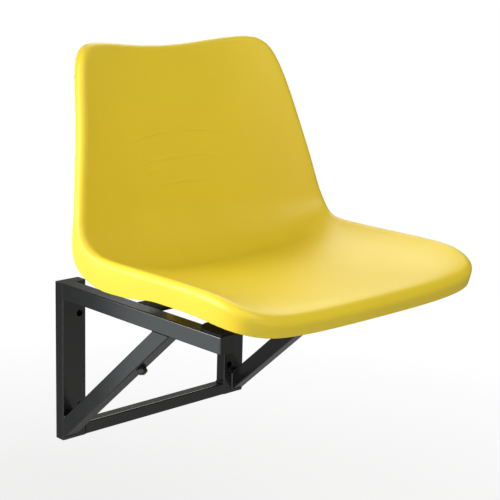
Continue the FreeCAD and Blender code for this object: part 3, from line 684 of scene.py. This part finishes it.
# One M8 bolt crosses each brace, square to its length, with a thin round head above it and a
# washer and a nut below. They are steel, painted over with the bracket. Sizes in millimetres.
BRACE_BOLT_ALONG, BRACE_BOLT_X = 236.0, (ARM_OUTER_X + ARM_INNER_X) / 2
BRACE_BOLT_FOOT = -10.0
ROUND_HEAD = ((8.0, 0.0), (8.0, 0.3), (7.6, 0.75), (6.8, 1.2), (5.7, 1.65), (4.6, 2.0), (3.9, 2.2))
HEX_ACROSS, NUT_HEIGHT, NUT_CUT = 13.0, 6.5, 0.5
CHAMFER_START, CHAMFER_SLOPE = HEX_ACROSS / 2 * 0.965, 1.732
CHAMFER_DEPTHS = (0.0, 0.12, 0.25, 0.4, 0.55, 0.72)
SHANK_RADIUS, THREAD_DEPTH, THREAD_PITCH, THREAD_CUT = 4.0, 0.6, 1.25, 0.5
ROWS_IN_A_PITCH, THREAD_RUN_OUT = 8, 0.4
WASHER_RADIUS, WASHER_THICKNESS, WASHER_EDGE, EYE_RADIUS = 8.0, 1.6, 0.25, 4.05
TURNS = 72
CRISP_EDGE, SAME_PLACE = math.radians(35), 1e-7


def hexagon(turn):
    """Distance from the axis to a hexagon's side in that direction."""
    return HEX_ACROSS / 2 / math.cos(turn % (math.pi / 3) - math.pi / 6)


def revolve(bm, place, rows):
    """Rings one above the other: each row is a height and a radius, or a radius for each turn."""
    rings = []
    for height, radius in rows:
        ring = []
        for k in range(TURNS):
            turn = 2 * math.pi * k / TURNS
            reach = radius(turn) if callable(radius) else radius
            local = Vector((reach * math.cos(turn), reach * math.sin(turn), height))
            ring.append(bm.verts.new((place @ local) * MM))
        rings.append(ring)
    join_rings(bm, rings)


def chamfered(low, high, low_cut=True):
    """Rows up the flats of a hexagon, turned to a cone at its top and, if cut, at its foot."""
    def turned(depth):
        return lambda turn: min(hexagon(turn), CHAMFER_START + depth * CHAMFER_SLOPE)

    foot = [(low + depth, turned(depth)) for depth in CHAMFER_DEPTHS]
    top = [(high - depth, turned(depth)) for depth in reversed(CHAMFER_DEPTHS)]
    return (foot if low_cut else [(low, hexagon)]) + top


def thread(low, high):
    """Rows along a screw thread, whose crests climb as they go round and grow from its end."""
    def crested(height, grown):
        def reach(turn):
            crest = abs(2 * ((height / THREAD_PITCH - turn / (2 * math.pi)) % 1) - 1)
            return SHANK_RADIUS - (1 - grown) * THREAD_DEPTH - grown * THREAD_DEPTH * (1 - crest)
        return reach

    steps = max(ROWS_IN_A_PITCH, round((high - low) / THREAD_PITCH * ROWS_IN_A_PITCH))
    rows = []
    for step in range(steps + 1):
        height = low + (high - low) * step / steps
        rows.append((height, crested(height, min(1.0, (height - low) / THREAD_PITCH))))
    return rows


def shank(foot, thread_top, head_low):
    """Rows of a bolt from the end of its thread, at foot, up to its head."""
    tip = SHANK_RADIUS - THREAD_DEPTH - THREAD_CUT
    rows = [(foot, 0.0), (foot, tip)] + thread(foot + THREAD_CUT, thread_top)
    return rows + [(thread_top + THREAD_RUN_OUT, SHANK_RADIUS), (head_low, SHANK_RADIUS)]


def nut(bm, place, low):
    """A hexagon nut that stands on that height, with its bore cut back at both ends."""
    high = low + NUT_HEIGHT
    bore_foot = (low + NUT_CUT, EYE_RADIUS)
    rows = [bore_foot, (low, EYE_RADIUS + NUT_CUT)] + chamfered(low, high)
    rows += [(high, EYE_RADIUS + NUT_CUT), (high - NUT_CUT, EYE_RADIUS), bore_foot]
    revolve(bm, place, rows)


def washer(bm, place, low):
    """A flat ring that stands on that height, with its edges broken."""
    high, edge = low + WASHER_THICKNESS, WASHER_EDGE
    eye_foot = (low + edge, EYE_RADIUS)
    revolve(bm, place, [eye_foot, (low, EYE_RADIUS + edge), (low, WASHER_RADIUS - edge),
                        (low + edge, WASHER_RADIUS), (high - edge, WASHER_RADIUS),
                        (high, WASHER_RADIUS - edge), (high, EYE_RADIUS + edge),
                        (high - edge, EYE_RADIUS), eye_foot])


def sharp_piece(name, bm, material, node):
    """A piece whose edges stay crisp where its faces meet at a steep angle."""
    bmesh.ops.remove_doubles(bm, verts=bm.verts, dist=SAME_PLACE)
    made = piece(name, bm, material, node)
    made.data.set_sharp_from_angle(angle=CRISP_EDGE)


brace_up = Matrix(((1, 0, 0), (0, math.cos(BRACE_ANGLE), math.sin(BRACE_ANGLE)),
                   (0, -math.sin(BRACE_ANGLE), math.cos(BRACE_ANGLE)))).to_4x4()
bolts, nuts, washers = bmesh.new(), bmesh.new(), bmesh.new()
for side in (-1, 1):
    spot = Vector((side * BRACE_BOLT_X, *on_brace(BRACE_BOLT_ALONG, 0)))
    place = Matrix.Translation(spot) @ brace_up
    head = [(BRACE_SIDE + height, radius) for radius, height in ROUND_HEAD]
    revolve(bolts, place, shank(BRACE_BOLT_FOOT, 0.0, BRACE_SIDE) + head + [(head[-1][0], 0.0)])
    washer(washers, place, -WASHER_THICKNESS)
    nut(nuts, place, -WASHER_THICKNESS - NUT_HEIGHT)
sharp_piece("brace_bolt_pair", bolts, bracket_paint, "brace_bolts")
sharp_piece("brace_nut_pair", nuts, bracket_paint, "brace_nuts")
sharp_piece("brace_washer_pair", washers, bracket_paint, "brace_washers")


# Four zinc-plated M8 bolts hold the shell from below. Each goes up through a spring washer, a
# flat washer, the strap and a rubber pad into the shell's boss.
STRAPS = tuple(zip(BOSS_DEPTHS, (REAR_STRAP_UNDER_Z, ARM_TOP_Z)))
SEAT_BOLT_LENGTH, SEAT_THREAD_LENGTH, SEAT_BOLT_HEAD = 30.0, 22.0, 5.3
SPRING_RADIUS, SPRING_SPACE, SPRING_STOCK, SPRING_EDGE = 7.25, 2.0, 1.65, 0.2
SPRING_GAP, SPRING_RISE = math.radians(9), 0.35
ZINC = (0.60, 0.61, 0.60, 1)
ZINC_DEEP = (0.46, 0.47, 0.46, 1)
zinc, start = new_finish("zinc_plate")
spangle = grain(start, 0.0035, 3.0)
coat(start, {
    "Base Color": spangle.between(ZINC_DEEP, ZINC),
    "Metallic": 1.0,
    "Roughness": spangle * 0.18 + 0.28,
    "Normal": bumps(start, grain(start, 0.0006), 0.08, 0.0002),
})


def spring_washer(bm, place, low):
    """A split ring: its section goes round once and stands a little higher at one end."""
    inner, outer, edge, high = EYE_RADIUS, SPRING_RADIUS, SPRING_EDGE, SPRING_STOCK
    corners = ((inner, edge), (inner + edge, 0), (outer - edge, 0), (outer, edge),
               (outer, high - edge), (outer - edge, high), (inner + edge, high),
               (inner, high - edge))
    sections = []
    for k in range(TURNS + 1):
        share = k / TURNS
        turn = math.pi / 2 + SPRING_GAP + share * 2 * (math.pi - SPRING_GAP)
        section = []
        for radius, height in corners:
            lifted = low + height + SPRING_RISE * share
            local = Vector((radius * math.cos(turn), radius * math.sin(turn), lifted))
            section.append(bm.verts.new((place @ local) * MM))
        sections.append(section)
    join_rings(bm, sections)
    bm.faces.new(sections[0])
    bm.faces.new(sections[-1])


bolts, springs, washers = bmesh.new(), bmesh.new(), bmesh.new()
seat_bolt = shank(-SEAT_BOLT_LENGTH, SEAT_THREAD_LENGTH - SEAT_BOLT_LENGTH, 0.0)
seat_bolt += chamfered(0.0, SEAT_BOLT_HEAD, low_cut=False) + [(SEAT_BOLT_HEAD, 0.0)]
for strap_y, strap_under in STRAPS:
    washer_low = strap_under - WASHER_THICKNESS
    spring_low = washer_low - SPRING_SPACE
    for boss_x in (-BOSS_ACROSS, BOSS_ACROSS):
        place = Matrix.Translation((boss_x, strap_y, 0))
        washer(washers, place, washer_low)
        spring_washer(springs, place, spring_low)
        under_spring = Matrix.Translation((boss_x, strap_y, spring_low))
        revolve(bolts, under_spring @ Matrix.Rotation(math.pi, 4, "X"), seat_bolt)
sharp_piece("seat_bolt_set", bolts, zinc, "seat_bolts")
sharp_piece("spring_washer_set", springs, zinc, "seat_spring_washers")
sharp_piece("flat_washer_set", washers, zinc, "seat_washers")


# The pads are discs of black rubber, cut from moulded sheet with a hole for the bolt. They lie
# between the straps and the shell's bosses and take up the play between them.
PAD_RADIUS, PAD_EYE, PAD_EDGE, PAD_ROUND = 15.0, 4.5, 0.7, 0.21
STRAP_THICKNESS = 4.0
RUBBER = (0.024, 0.024, 0.023, 1)
RUBBER_DEEP = (0.010, 0.010, 0.010, 1)
rubber, start = new_finish("black_rubber")
bloom = grain(start, 0.006, 3.0)
coat(start, {
    "Base Color": bloom.between(RUBBER_DEEP, RUBBER),
    "Roughness": bloom * 0.2 + 0.62,
    "Normal": bumps(start, grain(start, 0.0007), 0.15, 0.0002),
})
pads = bmesh.new()
for strap_y, strap_under in STRAPS:
    low, high = strap_under + STRAP_THICKNESS, BOSS_FOOT
    lower_half = [(PAD_EDGE, PAD_EYE), (0, PAD_EYE + PAD_EDGE), (0, PAD_RADIUS - PAD_EDGE),
                  (PAD_ROUND, PAD_RADIUS - PAD_ROUND), (PAD_EDGE, PAD_RADIUS)]
    rows = [(low + height, radius) for height, radius in lower_half]
    rows += [(high - height, radius) for height, radius in reversed(lower_half)]
    for boss_x in (-BOSS_ACROSS, BOSS_ACROSS):
        revolve(pads, Matrix.Translation((boss_x, strap_y, 0)), rows + rows[:1])
sharp_piece("spacer_pad_set", pads, rubber, "spacer_pads")


# The inserts are turned brass bushes, pressed into the bosses while the plastic is warm. Their
# tapped bores take the seat bolts.
BRASS = (0.70, 0.48, 0.16, 1)
BRASS_DEEP = (0.58, 0.39, 0.12, 1)
brass, start = new_finish("turned_brass")
tool_marks = grain(start, 0.0004, 2.0, (0.1, 0.1, 1))
coat(start, {
    "Base Color": tool_marks.between(BRASS_DEEP, BRASS),
    "Metallic": 1.0,
    "Roughness": tool_marks * 0.15 + 0.25,
    "Normal": bumps(start, tool_marks, 0.1, 0.0001),
})
repaint(brass, "threaded_inserts")
dress(0.0003, "threaded_inserts")
